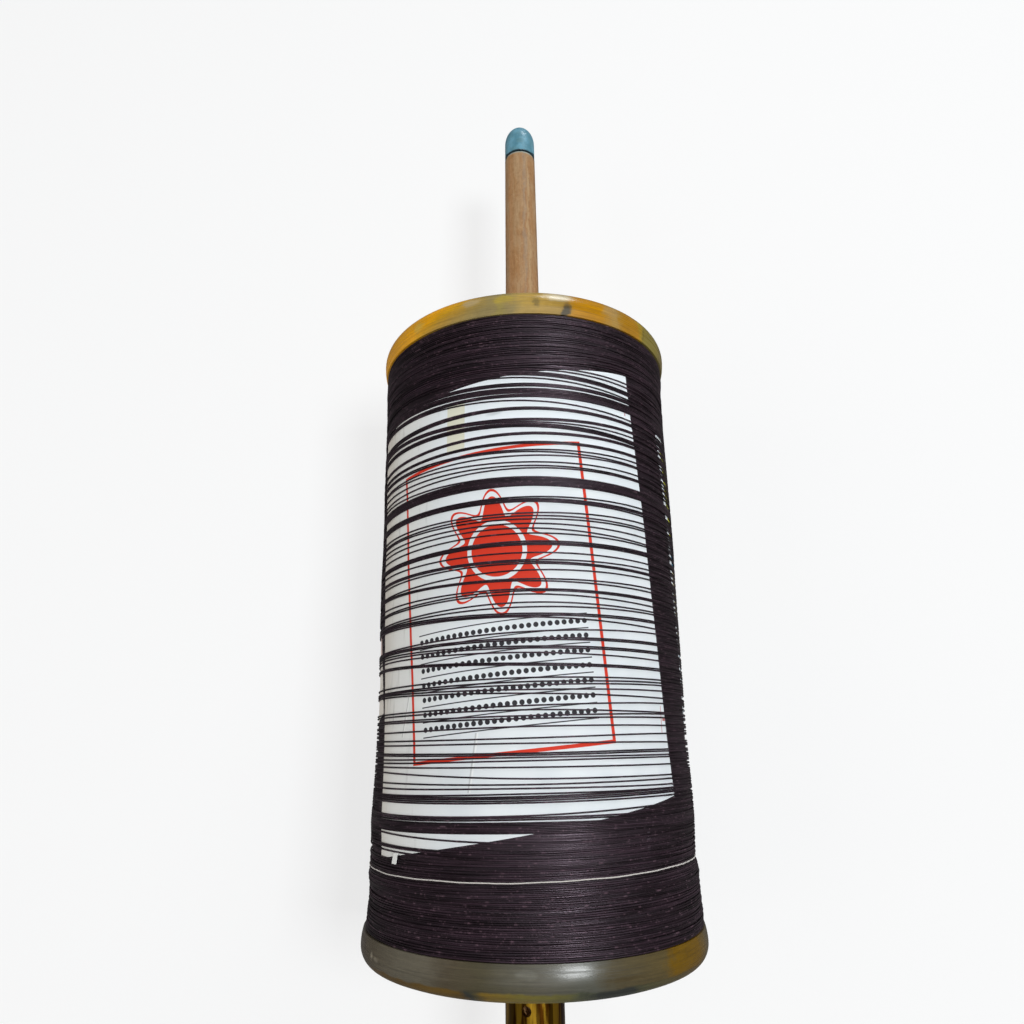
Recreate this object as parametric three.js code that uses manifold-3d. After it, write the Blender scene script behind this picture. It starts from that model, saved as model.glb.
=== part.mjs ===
// A hand-held reel of kite string. A wooden rod, which is the handle at both ends, carries two
// thick round flanges; dark string is wound between them, and paper labels lie under its last,
// open turns. Sizes are in millimetres.
//
// The reel lies on the flats of its flanges: its axis runs along Y, +Z is up, and the origin is
// on the surface below the middle of the winding.
import * as THREE from "three";
import { mergeVertices } from "three/addons/utils/BufferGeometryUtils.js";
import Module from "manifold-3d";

const wasm = await Module();
wasm.setup();

// Driving dimensions
const GAP = 0.3; // left between pieces that touch on the real reel

const FLANGE_RADIUS = 51; // at the crown of the rounded rim
const FLANGE_THICKNESS = 9;
const RIM_CROWN_AT = 4.2; // from the flange's inner face
const RIM_INNER_RADIUS = 50.4; // where the rim meets the inner face
const RIM_OUTER_RADIUS = 47.4; // where the rim meets the outer face
const FLAT_DEPTH = 0.4; // of the flat that the reel lies on

const WOUND_LENGTH = 177; // between the flanges' inner faces
const STRING_DIAMETER = 0.5;
// Radius of the winding over its outermost turns, from the lower flange to the upper one.
const WOUND_PROFILE = [
  { at: -88.5, radius: 50.05 },
  { at: -80, radius: 49.65 },
  { at: -74.5, radius: 49.9 },
  { at: -70.5, radius: 49.35 },
  { at: -60, radius: 49.75 },
  { at: -46, radius: 49.4 },
  { at: -30, radius: 49.2 },
  { at: -8, radius: 49.4 },
  { at: 14, radius: 49.6 },
  { at: 44, radius: 49.7 },
  { at: 66, radius: 49.65 },
  { at: 84, radius: 50.05 },
  { at: 88.5, radius: 50.1 },
];

const ROD_RADIUS = 6.6; // inside the reel and where the handles start
const HANDLE_END_RADIUS = 6.1; // where a handle meets its cap
const CAP_SHOULDER_AT = 193; // from the middle of the winding
const CAP_TOP_AT = 208.3;
const CAP_RADIUS = 6.05;
const CAP_DOME_LENGTH = 8;
const CAP_SEAM = 0.5; // open seam between a handle and its cap
const SPIGOT_RADIUS = 4; // the turned end of the rod, inside the cap
const SPIGOT_LENGTH = 7.5;

const SLEEVE_RADIUS = 8.7;
const SLEEVE_END_AT = 118;
const SLEEVE_ROUNDING = 1.5;
const PIN_HOLE_AT = -110.7; // along the reel
const PIN_HOLE_ANGLE = -16; // degrees from straight up, seen with the upper flange ahead
const PIN_HOLE_DIAMETER = 2.7;
const PIN_HOLE_DEPTH = 5; // below the sleeve's surface, so it also enters the rod
const DRILL_OVERRUN = 2; // beyond the sleeve's surface

// Each label is a four-sided paper. A corner is (round, along): its distance round the winding
// from the topmost line, clockwise as seen with the upper flange ahead, and its place along it.
const LABEL_THICKNESS = 1;
const LABEL_MEASURING_RADIUS = 50; // of the cylinder on which `round` is measured
const LABELS = {
  label_front: {
    lowerLeft: [-51.8, -68.4],
    lowerRight: [47.0, -52.6],
    upperRight: [36.0, 73.0],
    upperLeft: [-64.0, 60.5],
  },
  label_right: {
    lowerLeft: [66.5, -36.0],
    lowerRight: [137.8, -26.3],
    upperRight: [125.1, 68.1],
    upperLeft: [53.8, 58.5],
  },
  label_left: {
    lowerLeft: [-124.3, -48.5],
    lowerRight: [-57.0, -29.2],
    upperRight: [-64.0, -5.0],
    upperLeft: [-131.3, -24.3],
  },
};

const FLANGE_SEGMENTS = 72;
const WINDING_SEGMENTS = 72;
const SMALL_SEGMENTS = 32;
const HOLE_SEGMENTS = 20;
const ARC_STEPS = 4; // in each quarter of a rim or dome
const LABEL_STEPS = { round: 5, along: 16 }; // length of a label's facets

const AXIS_HEIGHT = FLANGE_RADIUS - FLAT_DEPTH;
const HALF_WOUND = WOUND_LENGTH / 2;
const FLANGE_OUTER_AT = HALF_WOUND + FLANGE_THICKNESS;
const BORE_RADIUS = ROD_RADIUS + GAP;

const COLOURS = {
  wood: { color: 0xac8a64, roughness: 0.6, metalness: 0 },
  capPaint: { color: 0x67a3b9, roughness: 0.45, metalness: 0 },
  marbled: { color: 0x9a7d33, roughness: 0.3, metalness: 0 },
  brass: { color: 0xb08a2c, roughness: 0.25, metalness: 1 },
  string: { color: 0x2d2529, roughness: 0.75, metalness: 0 },
  paper: { color: 0xdfe3e3, roughness: 0.85, metalness: 0 },
};

// Solids for cutting
function toSolid(geometry) {
  const bare = geometry.clone();
  bare.deleteAttribute("normal");
  bare.deleteAttribute("uv");
  const merged = mergeVertices(bare, 1e-4);
  return new wasm.Manifold(
    new wasm.Mesh({
      numProp: 3,
      vertProperties: new Float32Array(merged.attributes.position.array),
      triVerts: new Uint32Array(merged.index.array),
    }),
  );
}

function toGeometry(solid) {
  const mesh = solid.getMesh();
  const geometry = new THREE.BufferGeometry();
  const corners = new Float32Array(mesh.triVerts.length * 3);
  mesh.triVerts.forEach((v, i) => {
    corners.set(mesh.vertProperties.subarray(v * mesh.numProp, v * mesh.numProp + 3), i * 3);
  });
  geometry.setAttribute("position", new THREE.BufferAttribute(corners, 3));
  geometry.computeVertexNormals();
  return geometry;
}

// A solid turned about the reel's axis. The profile is a list of [radius, along].
function turned(profile, segments) {
  return new THREE.LatheGeometry(
    profile.map(([radius, along]) => new THREE.Vector2(radius, along)),
    segments,
  );
}

// Points of a quarter ellipse from (radius0, along0) to (radius1, along1), without its first
// point. It leaves along the axis when leavesAlong is true, and square to it otherwise.
function quarter([radius0, along0], [radius1, along1], leavesAlong) {
  const points = [];
  for (let i = 1; i <= ARC_STEPS; i++) {
    const angle = ((i / ARC_STEPS) * Math.PI) / 2;
    const slow = 1 - Math.cos(angle);
    const fast = Math.sin(angle);
    points.push([
      radius0 + (radius1 - radius0) * (leavesAlong ? slow : fast),
      along0 + (along1 - along0) * (leavesAlong ? fast : slow),
    ]);
  }
  return points;
}

function woundRadius(along) {
  const next = WOUND_PROFILE.findIndex((row) => row.at >= along);
  if (next <= 0) return WOUND_PROFILE[next < 0 ? WOUND_PROFILE.length - 1 : 0].radius;
  const [a, b] = [WOUND_PROFILE[next - 1], WOUND_PROFILE[next]];
  return a.radius + ((b.radius - a.radius) * (along - a.at)) / (b.at - a.at);
}

// A four-sided sheet bent round the winding, between two depths below its outermost turns, and
// `margin` larger than the label on every side.
function bentSheet(label, outerDepth, innerDepth, margin) {
  const { lowerLeft, lowerRight, upperRight, upperLeft } = label;
  const across = Math.ceil((lowerRight[0] - lowerLeft[0]) / LABEL_STEPS.round);
  const along = Math.ceil((upperLeft[1] - lowerLeft[1]) / LABEL_STEPS.along);
  const mix = (a, b, t) => a + (b - a) * t;
  const place = (i, j, depth) => {
    const [u, v] = [i / across, j / along];
    const round = mix(mix(lowerLeft[0], lowerRight[0], u), mix(upperLeft[0], upperRight[0], u), v);
    const up = mix(mix(lowerLeft[1], lowerRight[1], u), mix(upperLeft[1], upperRight[1], u), v);
    const angle = (round + margin * (2 * u - 1)) / LABEL_MEASURING_RADIUS;
    const y = up + margin * (2 * v - 1);
    const radius = woundRadius(y) - depth;
    return [radius * Math.sin(angle), y, radius * Math.cos(angle)];
  };
  const positions = [];
  const quad = (a, b, c, d) => positions.push(...a, ...b, ...c, ...a, ...c, ...d);
  for (let i = 0; i < across; i++) {
    for (let j = 0; j < along; j++) {
      const cell = (depth) => [
        place(i, j, depth),
        place(i + 1, j, depth),
        place(i + 1, j + 1, depth),
        place(i, j + 1, depth),
      ];
      const [a, b, c, d] = cell(outerDepth);
      quad(a, b, c, d);
      const [e, f, g, h] = cell(innerDepth);
      quad(h, g, f, e);
      if (j === 0) quad(e, f, b, a);
      if (j === along - 1) quad(d, c, g, h);
      if (i === 0) quad(e, a, d, h);
      if (i === across - 1) quad(b, f, g, c);
    }
  }
  const geometry = new THREE.BufferGeometry();
  geometry.setAttribute("position", new THREE.Float32BufferAttribute(positions, 3));
  const sheet = mergeVertices(geometry, 1e-4);
  sheet.computeVertexNormals();
  return sheet;
}

// The drill that makes the pin hole in the sleeve and a little way into the rod
function pinDrill() {
  const length = PIN_HOLE_DEPTH + DRILL_OVERRUN;
  const radius = PIN_HOLE_DIAMETER / 2;
  const drill = new THREE.CylinderGeometry(radius, radius, length, HOLE_SEGMENTS);
  drill.rotateX(Math.PI / 2);
  drill.translate(0, 0, SLEEVE_RADIUS - PIN_HOLE_DEPTH + length / 2);
  drill.rotateY(THREE.MathUtils.degToRad(PIN_HOLE_ANGLE));
  drill.translate(0, PIN_HOLE_AT, 0);
  return toSolid(drill);
}

// The rod, from one spigot to the other
function rodGeometry() {
  const shoulder = CAP_SHOULDER_AT - CAP_SEAM;
  const end = shoulder + SPIGOT_LENGTH;
  const half = [
    [ROD_RADIUS, FLANGE_OUTER_AT],
    [HANDLE_END_RADIUS, shoulder],
    [SPIGOT_RADIUS, shoulder],
    [SPIGOT_RADIUS, end],
    [0, end],
  ];
  const mirrored = half.map(([radius, along]) => [radius, -along]).reverse();
  const rod = toSolid(turned([...mirrored, ...half], SMALL_SEGMENTS));
  return toGeometry(rod.subtract(pinDrill()));
}

// A domed cap on the upper spigot
function capGeometry() {
  const domeFrom = CAP_TOP_AT - CAP_DOME_LENGTH;
  const bore = SPIGOT_RADIUS + GAP;
  const boreEnd = CAP_SHOULDER_AT - CAP_SEAM + SPIGOT_LENGTH + GAP;
  return turned(
    [
      [0, boreEnd],
      [bore, boreEnd],
      [bore, CAP_SHOULDER_AT],
      [CAP_RADIUS, CAP_SHOULDER_AT],
      [CAP_RADIUS, domeFrom],
      ...quarter([CAP_RADIUS, domeFrom], [0, CAP_TOP_AT], true),
    ],
    SMALL_SEGMENTS,
  );
}

// The rim's shallow inner side, from the inner face out to its crown
function rimInnerSide(inner) {
  const points = [];
  for (let i = 0; i <= ARC_STEPS; i++) {
    const t = i / ARC_STEPS;
    const below = (FLANGE_RADIUS - RIM_INNER_RADIUS) * (1 - t) ** 2;
    points.push([FLANGE_RADIUS - below, inner + RIM_CROWN_AT * t]);
  }
  return points;
}

// The upper flange, with its rounded rim and the flat that it lies on
function flangeGeometry() {
  const inner = HALF_WOUND;
  const crown = [FLANGE_RADIUS, inner + RIM_CROWN_AT];
  const profile = [
    [BORE_RADIUS, inner],
    ...rimInnerSide(inner),
    ...quarter(crown, [RIM_OUTER_RADIUS, FLANGE_OUTER_AT], true),
    [BORE_RADIUS, FLANGE_OUTER_AT],
    [BORE_RADIUS, inner],
  ];
  const below = new THREE.BoxGeometry(2 * FLANGE_RADIUS, 2 * FLANGE_OUTER_AT, FLANGE_RADIUS);
  below.translate(0, FLANGE_OUTER_AT, -AXIS_HEIGHT - FLANGE_RADIUS / 2);
  return toGeometry(toSolid(turned(profile, FLANGE_SEGMENTS)).subtract(toSolid(below)));
}

// The brass sleeve on the lower handle, against the flange
function sleeveGeometry() {
  const top = -FLANGE_OUTER_AT - GAP;
  const end = -SLEEVE_END_AT;
  const profile = [
    [BORE_RADIUS, top],
    [BORE_RADIUS, end],
    [SLEEVE_RADIUS - SLEEVE_ROUNDING, end],
    ...quarter(
      [SLEEVE_RADIUS - SLEEVE_ROUNDING, end],
      [SLEEVE_RADIUS, end + SLEEVE_ROUNDING],
      false,
    ),
    [SLEEVE_RADIUS, top],
    [BORE_RADIUS, top],
  ];
  return toGeometry(toSolid(turned(profile, SMALL_SEGMENTS)).subtract(pinDrill()));
}

// The winding: the outer form of all the turns, with a seat for each label
function windingGeometry() {
  const half = HALF_WOUND - GAP;
  const inside = WOUND_PROFILE.slice(1, -1).map(({ at, radius }) => [radius, at]);
  const profile = [
    [BORE_RADIUS, -half],
    [woundRadius(-half), -half],
    ...inside,
    [woundRadius(half), half],
    [BORE_RADIUS, half],
    [BORE_RADIUS, -half],
  ];
  let winding = toSolid(turned(profile, WINDING_SEGMENTS));
  for (const label of Object.values(LABELS)) {
    const floor = STRING_DIAMETER + LABEL_THICKNESS + GAP;
    winding = winding.subtract(toSolid(bentSheet(label, -1, floor, GAP)));
  }
  return toGeometry(winding);
}

const reel = new THREE.Group();
reel.position.z = AXIS_HEIGHT;

function add(name, geometry, finish, parent = reel) {
  const mesh = new THREE.Mesh(geometry, new THREE.MeshStandardMaterial(finish));
  mesh.name = name;
  parent.add(mesh);
  return mesh;
}

add("rod", rodGeometry(), COLOURS.wood);
add("winding", windingGeometry(), COLOURS.string);
add("flange_upper", flangeGeometry(), COLOURS.marbled);
add("cap_upper", capGeometry(), COLOURS.capPaint);
add("sleeve", sleeveGeometry(), COLOURS.brass);

// The lower flange and cap are the upper ones turned end for end about the vertical.
const lowerEnd = new THREE.Group();
lowerEnd.rotation.z = Math.PI;
reel.add(lowerEnd);
add("flange_lower", flangeGeometry(), COLOURS.marbled, lowerEnd);
add("cap_lower", capGeometry(), COLOURS.capPaint, lowerEnd);

for (const [name, label] of Object.entries(LABELS)) {
  const sheet = bentSheet(label, STRING_DIAMETER, STRING_DIAMETER + LABEL_THICKNESS, 0);
  add(name, sheet, COLOURS.paper);
}

const part = new THREE.Group();
part.add(reel);
export default part;
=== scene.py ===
# The looks of a hand-held reel of kite string: dark glazed thread, wound between two marbled
# flanges on a wooden rod, with paper labels under its last, open turns. Lengths are in
# millimetres and places are measured from the reel's axis, which runs along Y, until a mesh is
# made. Angles go round the axis from straight up, and rise towards +X.
import math

import bpy
import numpy as np
from mathutils import Matrix, Vector


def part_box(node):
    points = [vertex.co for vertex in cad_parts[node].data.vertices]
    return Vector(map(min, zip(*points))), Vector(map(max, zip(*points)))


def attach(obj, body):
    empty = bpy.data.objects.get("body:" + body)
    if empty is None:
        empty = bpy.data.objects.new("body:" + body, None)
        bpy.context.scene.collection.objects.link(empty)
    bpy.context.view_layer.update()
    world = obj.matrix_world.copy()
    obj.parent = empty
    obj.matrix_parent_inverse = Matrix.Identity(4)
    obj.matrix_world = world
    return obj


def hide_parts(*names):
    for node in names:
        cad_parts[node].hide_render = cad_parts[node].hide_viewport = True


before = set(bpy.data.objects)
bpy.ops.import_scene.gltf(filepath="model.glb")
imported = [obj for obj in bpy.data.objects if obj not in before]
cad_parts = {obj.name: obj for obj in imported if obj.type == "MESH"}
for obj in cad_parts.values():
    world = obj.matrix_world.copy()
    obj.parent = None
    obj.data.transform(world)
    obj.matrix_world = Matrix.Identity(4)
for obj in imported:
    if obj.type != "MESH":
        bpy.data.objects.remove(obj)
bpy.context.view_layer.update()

MM = 0.001
ACROSS, ALONG, UP = range(3)


def reach(node, axis):
    """Lowest and highest place of a node of the frame along an axis."""
    low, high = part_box(node)
    return low[axis] / MM, high[axis] / MM


# Sizes from the frame
FLANGE_INNER, FLANGE_OUTER = reach("flange_upper", ALONG)
FLANGE_RADIUS = reach("flange_upper", ACROSS)[1]
AXIS_HEIGHT = reach("flange_upper", UP)[1] - FLANGE_RADIUS
ROD_RADIUS = reach("rod", ACROSS)[1]
SPIGOT_END = reach("rod", ALONG)[1]
CAP_SHOULDER, CAP_TOP = reach("cap_upper", ALONG)
CAP_RADIUS = reach("cap_upper", ACROSS)[1]
SLEEVE_RADIUS = reach("sleeve", ACROSS)[1]
SLEEVE_END, SLEEVE_TOP = reach("sleeve", ALONG)

# Sizes repeated from the part
GAP = 0.3  # between pieces that are fitted together
BORE_RADIUS = ROD_RADIUS + GAP
RIM_CROWN = 4.2  # from a flange's inner face
RIM_INNER_RADIUS = 50.4
RIM_OUTER_RADIUS = 47.4
HANDLE_END_RADIUS = 6.1
CAP_DOME_LENGTH = 8
CAP_SEAM = 0.5
SPIGOT_RADIUS = 4
SLEEVE_ROUNDING = 1.5
PIN_HOLE_AT = -110.7
PIN_HOLE_ANGLE = -16
PIN_HOLE_RADIUS = 1.35
PIN_HOLE_DEPTH = 5  # below the sleeve's surface
DRILL_OVERRUN = 2  # beyond the sleeve's surface
MEASURING_RADIUS = 50  # at which lengths round the reel are measured
WOUND_PROFILE = (  # place along the reel, radius over the outermost turns, lean towards +X
    (-88.5, 50.05, 0.15), (-84, 49.95, 0.35), (-80, 49.65, 0.42), (-77, 49.65, 0.33),
    (-74.5, 49.9, 0.2), (-72, 49.6, 0.1), (-70.5, 49.35, -0.1), (-68.5, 49.5, 0.0),
    (-64, 49.55, 0.13), (-60, 49.75, 0.12), (-54, 49.65, 0.28), (-46, 49.4, 0.33),
    (-38, 49.2, 0.3), (-30, 49.2, 0.27), (-20, 49.25, 0.3), (-8, 49.4, 0.2), (4, 49.48, 0.13),
    (14, 49.6, 0.1), (22, 49.62, 0.28), (34, 49.63, 0.25), (44, 49.7, 0.05), (52, 49.68, 0.0),
    (60, 49.65, -0.07), (66, 49.63, -0.12), (72, 49.75, -0.05), (77, 49.85, -0.15),
    (80.5, 49.9, -0.24), (84, 50.08, 0.0), (88.5, 50.1, 0.0),
)
LABEL_CORNERS = {  # (round, along) of the lower left, lower right, upper right and upper left
    "label_front": ((-51.8, -68.4), (47.0, -52.6), (36.0, 73.0), (-64.0, 60.5)),
    "label_right": ((66.5, -36.0), (137.8, -26.3), (125.1, 68.1), (53.8, 58.5)),
    "label_left": ((-124.3, -48.5), (-57.0, -29.2), (-64.0, -5.0), (-131.3, -24.3)),
}

# The thread
THREAD = 0.48  # diameter
WHITE_THREAD = 0.33
PITCH = 0.51  # of turns that lie side by side
PAPER = 0.1
LEAST_DEPTH = 0.03  # of the last turns, below the wound profile
UNDER_TURNS = THREAD + LEAST_DEPTH + PAPER  # depth at which the paper lies on the closed turns
COLUMNS = 96  # steps in each turn
THREAD_SIDES = 6
STATIONS = np.array([-50.4, 0.0, 39.0, 174.0])  # angles at which each turn's place is given


def srgb(red, green, blue):
    """The colour in linear light of an 8-bit one."""
    parts = [v / 255 for v in (red, green, blue)]
    linear = [v / 12.92 if v <= 0.04045 else ((v + 0.055) / 1.055) ** 2.4 for v in parts]
    return (*linear, 1)


# Meshes
def wound_radius(along, angle):
    """Radius over the outermost turns."""
    places, radii, leans = zip(*WOUND_PROFILE)
    lean = np.interp(along, places, leans) * np.sin(np.radians(angle))
    return np.interp(along, places, radii) + lean


def on_reel(angle, along, radius):
    """Points at these angles in degrees, places along the reel and radii."""
    turn = np.radians(angle)
    x, y, z = radius * np.sin(turn), along, radius * np.cos(turn)
    return np.stack(np.broadcast_arrays(x, y, z), axis=-1)


def dress(piece, finish, slot, *nodes):
    """Gives a piece its material and its place on the reel's body. slot is not used."""
    piece.data.materials.clear()
    piece.data.materials.append(finish)
    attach(piece, "root")
    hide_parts(*nodes)


def grid_piece(name, points, strand, shade=None, closed=(False, True), capped=False, flip=False):
    """A mesh of quads on a grid of points, or on several. strand is (u, v) for its UV map, with
    one more row or column than the points where a grid closes on itself. shade is a value for
    each point. flip turns the faces over, where they would otherwise point inwards."""
    rows, columns = points.shape[-3:-1]
    points = points.reshape(-1, rows, columns, 3)
    grids = len(points)
    first = np.arange(grids)[:, None, None] * rows * columns
    row = np.arange(rows if closed[0] else rows - 1)[:, None]
    column = np.arange(columns if closed[1] else columns - 1)[None, :]
    corners = [(row, column), (row, column + 1), (row + 1, column + 1), (row + 1, column)]
    index = [first + (r % rows) * columns + c % columns for r, c in corners]
    faces = np.stack(index, axis=-1).reshape(-1, 4).tolist()
    size = (grids, rows + closed[0], columns + closed[1])
    u, v = (np.broadcast_to(part, size) for part in strand)
    uv = np.stack([np.stack([u[:, r, c], v[:, r, c]], axis=-1) for r, c in corners], axis=3)
    uv = uv.reshape(-1, 2)
    if capped:
        for start in first.ravel().tolist():
            last = start + (rows - 1) * columns
            faces += [list(range(start, start + columns))[::-1], list(range(last, last + columns))]
        uv = np.vstack([uv, np.zeros((2 * grids * columns, 2))])
    mesh = bpy.data.meshes.new(name)
    placed = (points.reshape(-1, 3) + [0, 0, AXIS_HEIGHT]) * MM
    mesh.from_pydata(placed.tolist(), [], faces)
    mesh.uv_layers.new(name="strand").data.foreach_set("uv", uv.ravel().astype(np.float32))
    if shade is not None:
        values = np.broadcast_to(shade, (grids, rows, columns)).ravel().astype(np.float32)
        mesh.attributes.new("shade", "FLOAT", "POINT").data.foreach_set("value", values)
    mesh.shade_smooth()
    if flip:
        mesh.flip_normals()
    piece = bpy.data.objects.new(name, mesh)
    bpy.context.scene.collection.objects.link(piece)
    return piece


def smooth_through(knots, values, at):
    """A smooth curve through values at the knots, read at other places. The last axis of values
    runs along the knots."""
    slopes = np.gradient(values, knots, axis=-1)
    i = np.clip(np.searchsorted(knots, at, side="right") - 1, 0, len(knots) - 2)
    span = knots[i + 1] - knots[i]
    t = (at - knots[i]) / span
    start = (2 * t**3 - 3 * t**2 + 1) * values[..., i] + (t**3 - 2 * t**2 + t) * span * slopes[..., i]
    end = (3 * t**2 - 2 * t**3) * values[..., i + 1] + (t**3 - t**2) * span * slopes[..., i + 1]
    return start + end


def round_reel(values, angles):
    """Values given at the stations of closed turns, read at angles all the way round."""
    knots = np.concatenate([STATIONS - 360, STATIONS, STATIONS + 360])
    return smooth_through(knots, np.tile(values, 3), angles)


# Steps between closed turns, in parts of the least step: how uneven they are, and how much wider
# and how often some are, all the way round or near one station
UNEVEN_STEP = 0.25
WIDE_STEP, WIDE_STEP_CHANCE = 0.55, 0.2
WIDE_AT_STATION, WIDE_AT_STATION_CHANCE = 0.7, 0.14


def side_by_side(first, last, rng):
    """Places at the stations of turns that fill a stretch, with uneven grooves between them."""
    first, last = np.broadcast_to(first, 4), np.broadcast_to(last, 4)
    count = round(float(np.mean(first - last)) / PITCH) + 1
    shared, own = rng.random((count - 1, 1)), rng.random((count - 1, 4))
    steps = 1 + UNEVEN_STEP * own + WIDE_STEP * (shared < WIDE_STEP_CHANCE)
    steps = steps + WIDE_AT_STATION * (own < WIDE_AT_STATION_CHANCE)
    passed = np.vstack([np.zeros(4), np.cumsum(steps, axis=0)])
    return first + (last - first) * passed / passed[-1]


def wander(turns, knots_per_turn, angle, rng):
    """A smooth random walk along turns, mostly within -1 and 1."""
    knots = np.arange(-1, turns * knots_per_turn + 2) * 360 / knots_per_turn - 180
    return smooth_through(knots, rng.normal(0, 0.5, len(knots)), angle)


# Open turns over the front label, from the upper flange down. Each row is a band of turns that
# lie together: its place at the label's left side, middle and right side, and its width in turns.
OPEN_TURNS = (
    (70.8, 70.4, 70.1, 1), (70.1, 69.7, 68.8, 1), (69.0, 68.35, 66.75, 3), (67.7, 66.9, 64.85, 1),
    (64.5, 64.58, 63.75, 2.6), (63.0, 62.6, 61.82, 3.8), (60.9, 61.0, 60.4, 2.4),
    (60.3, 59.3, 57.6, 1),
    (56.0, 57.1, 56.45, 1), (55.2, 56.75, 56.1, 2), (53.7, 53.2, 53.6, 2), (53.2, 52.4, 52.0, 1),
    (51.5, 51.4, 50.2, 3),
    (47.0, 48.7, 48.7, 2), (44.5, 45.8, 45.8, 2), (42.9, 43.5, 43.8, 1), (42.3, 42.9, 42.5, 1),
    (40.6, 41.7, 42.0, 1), (39.8, 39.7, 39.7, 1), (38.0, 38.6, 38.2, 1), (36.2, 37.8, 37.7, 1),
    (34.7, 35.1, 34.6, 1), (32.4, 33.7, 33.2, 6), (28.0, 29.0, 29.2, 1), (27.3, 28.2, 27.8, 2),
    (26.6, 27.6, 26.9, 1), (23.4, 24.2, 24.5, 1), (22.3, 23.4, 23.0, 1), (21.7, 22.4, 22.3, 1),
    (20.1, 21.1, 20.3, 1), (18.6, 19.7, 18.3, 1), (16.7, 18.2, 17.6, 1), (13.9, 15.4, 15.1, 3),
    (11.8, 12.6, 12.3, 1), (9.7, 10.5, 10.5, 1), (9.2, 10.0, 9.4, 1), (8.3, 9.5, 9.0, 1),
    (5.5, 7.6, 7.6, 1), (4.8, 5.1, 4.9, 1), (4.4, 4.6, 3.9, 1), (1.5, 2.3, 1.8, 1),
    (0.2, 1.8, 1.3, 1), (-0.4, 0.9, -0.2, 1), (-3.2, -1.4, -1.9, 1), (-3.9, -2.7, -2.7, 1),
    (-4.7, -4.7, -4.9, 2), (-5.5, -5.4, -6.6, 1), (-11.4, -9.4, -8.4, 1), (-12.2, -11.4, -11.3, 2),
    (-13.2, -13.3, -13.5, 1), (-13.9, -13.8, -14.0, 1), (-14.9, -15.0, -15.8, 1),
    (-17.0, -18.1, -18.5, 2), (-22.4, -21.6, -21.4, 1), (-23.6, -22.7, -22.3, 1),
    (-24.0, -23.5, -23.0, 1), (-24.5, -24.7, -24.5, 1), (-25.1, -25.7, -26.3, 1),
    (-29.8, -28.8, -28.0, 1), (-30.6, -29.9, -30.3, 1), (-31.9, -31.4, -30.9, 1),
    (-32.4, -32.1, -31.8, 1), (-35.0, -34.1, -33.9, 1), (-37.4, -37.0, -36.2, 1),
    (-38.6, -38.3, -38.3, 1), (-41.1, -41.0, -40.6, 2), (-42.4, -41.8, -41.7, 1),
    (-43.3, -42.6, -42.3, 1), (-44.4, -44.2, -44.2, 1), (-46.0, -47.0, -47.0, 1),
    (-48.6, -48.4, -48.1, 1), (-50.0, -49.3, -49.4, 1), (-51.6, -50.6, -50.4, 1),
    (-52.4, -51.7, -51.1, 3), (-53.4, -52.7, -52.3, 1), (-56.72, -55.75, -54.6, 1),
    (-57.44, -56.45, -56.3, 2),
    (-59.4, -58.6, -58.6, 6), (-61.6, -62.2, -61.8, 1), (-64.7, -64.6, -64.0, 2),
    (-65.9, -66.1, -65.8, 1),
)
CLOSED_ABOVE = np.array([71.8, 71.3, 73.1, 73.0])  # closed turns end here, at each station
CLOSED_BELOW = np.array([-67.8, -67.4, -67.0, -67.4])  # and start again here
WHITE_TURN = np.array([-71.7, -71.1, -70.4, -70.9])
FULL_BAND = 5  # turns, past which a band has one more, so that no paper shows in it
OPEN_SHIFT, REAR_SHIFT = 0.02, 0.3  # greatest random shift of an open turn, before and behind
OPEN_FREEDOM, CLOSED_FREEDOM = 0.02, 0.13  # how far turns may wander
FLANGE_CLEARANCE = 0.05
WANDER_KNOTS, SINK_KNOTS = 18, 10  # in each turn
SINKING = 2.2  # how deep a turn may sink, in parts of how far it may wander
TUCK_ANGLE, TUCK_DEPTH = 12, 0.8  # of the thread's two ends


def last_turns(rng):
    """Places at the stations of the outermost turns, from the upper flange down, and how far
    each may wander."""
    end = FLANGE_INNER - FLANGE_CLEARANCE - THREAD / 2
    around_white = 0.5 * (WHITE_THREAD + PITCH)
    open_turns = []
    for left, middle, right, width in OPEN_TURNS:
        count = math.ceil(width) + (width > FULL_BAND)
        for place in np.linspace(1, -1, count) if width > 1 else [0]:
            shift = place * (width - 1) / 2 * THREAD + rng.uniform(-OPEN_SHIFT, OPEN_SHIFT)
            open_turns.append([left + shift, middle + shift, right + shift, 0])
    open_turns = np.array(open_turns)
    following = np.append(open_turns[1:, 0], CLOSED_BELOW[0])
    shifts = rng.uniform(-REAR_SHIFT, REAR_SHIFT, len(open_turns))
    open_turns[:, 3] = 0.5 * (open_turns[:, 2] + following) + shifts
    bands = [
        side_by_side(end, CLOSED_ABOVE, rng),
        open_turns,
        side_by_side(CLOSED_BELOW, WHITE_TURN + around_white, rng),
        side_by_side(WHITE_TURN - around_white, -end, rng),
    ]
    freedoms = (CLOSED_FREEDOM, OPEN_FREEDOM, CLOSED_FREEDOM, CLOSED_FREEDOM)
    return np.vstack(bands), np.repeat(freedoms, [len(band) for band in bands])


def tube(name, angle, along, radius, diameter, sides=THREAD_SIDES, shade=None, ring=False):
    """Thread along one or more paths that go round the reel, or along a ring. Its diameter may
    differ round each section."""
    section = np.arange(sides + 1) / sides
    around = 2 * np.pi * section[:-1]
    out, side = 0.5 * diameter * np.cos(around), 0.5 * diameter * np.sin(around)
    points = on_reel(angle[..., None], along[..., None] + side, radius[..., None] + out)
    length = np.radians(np.append(angle, 360) if ring else angle) * MEASURING_RADIUS
    strand = (length[..., None], section)
    rising = angle.flat[1] > angle.flat[0]
    return grid_piece(name, points, strand, shade, (ring, True), capped=not ring, flip=rising)


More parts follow.
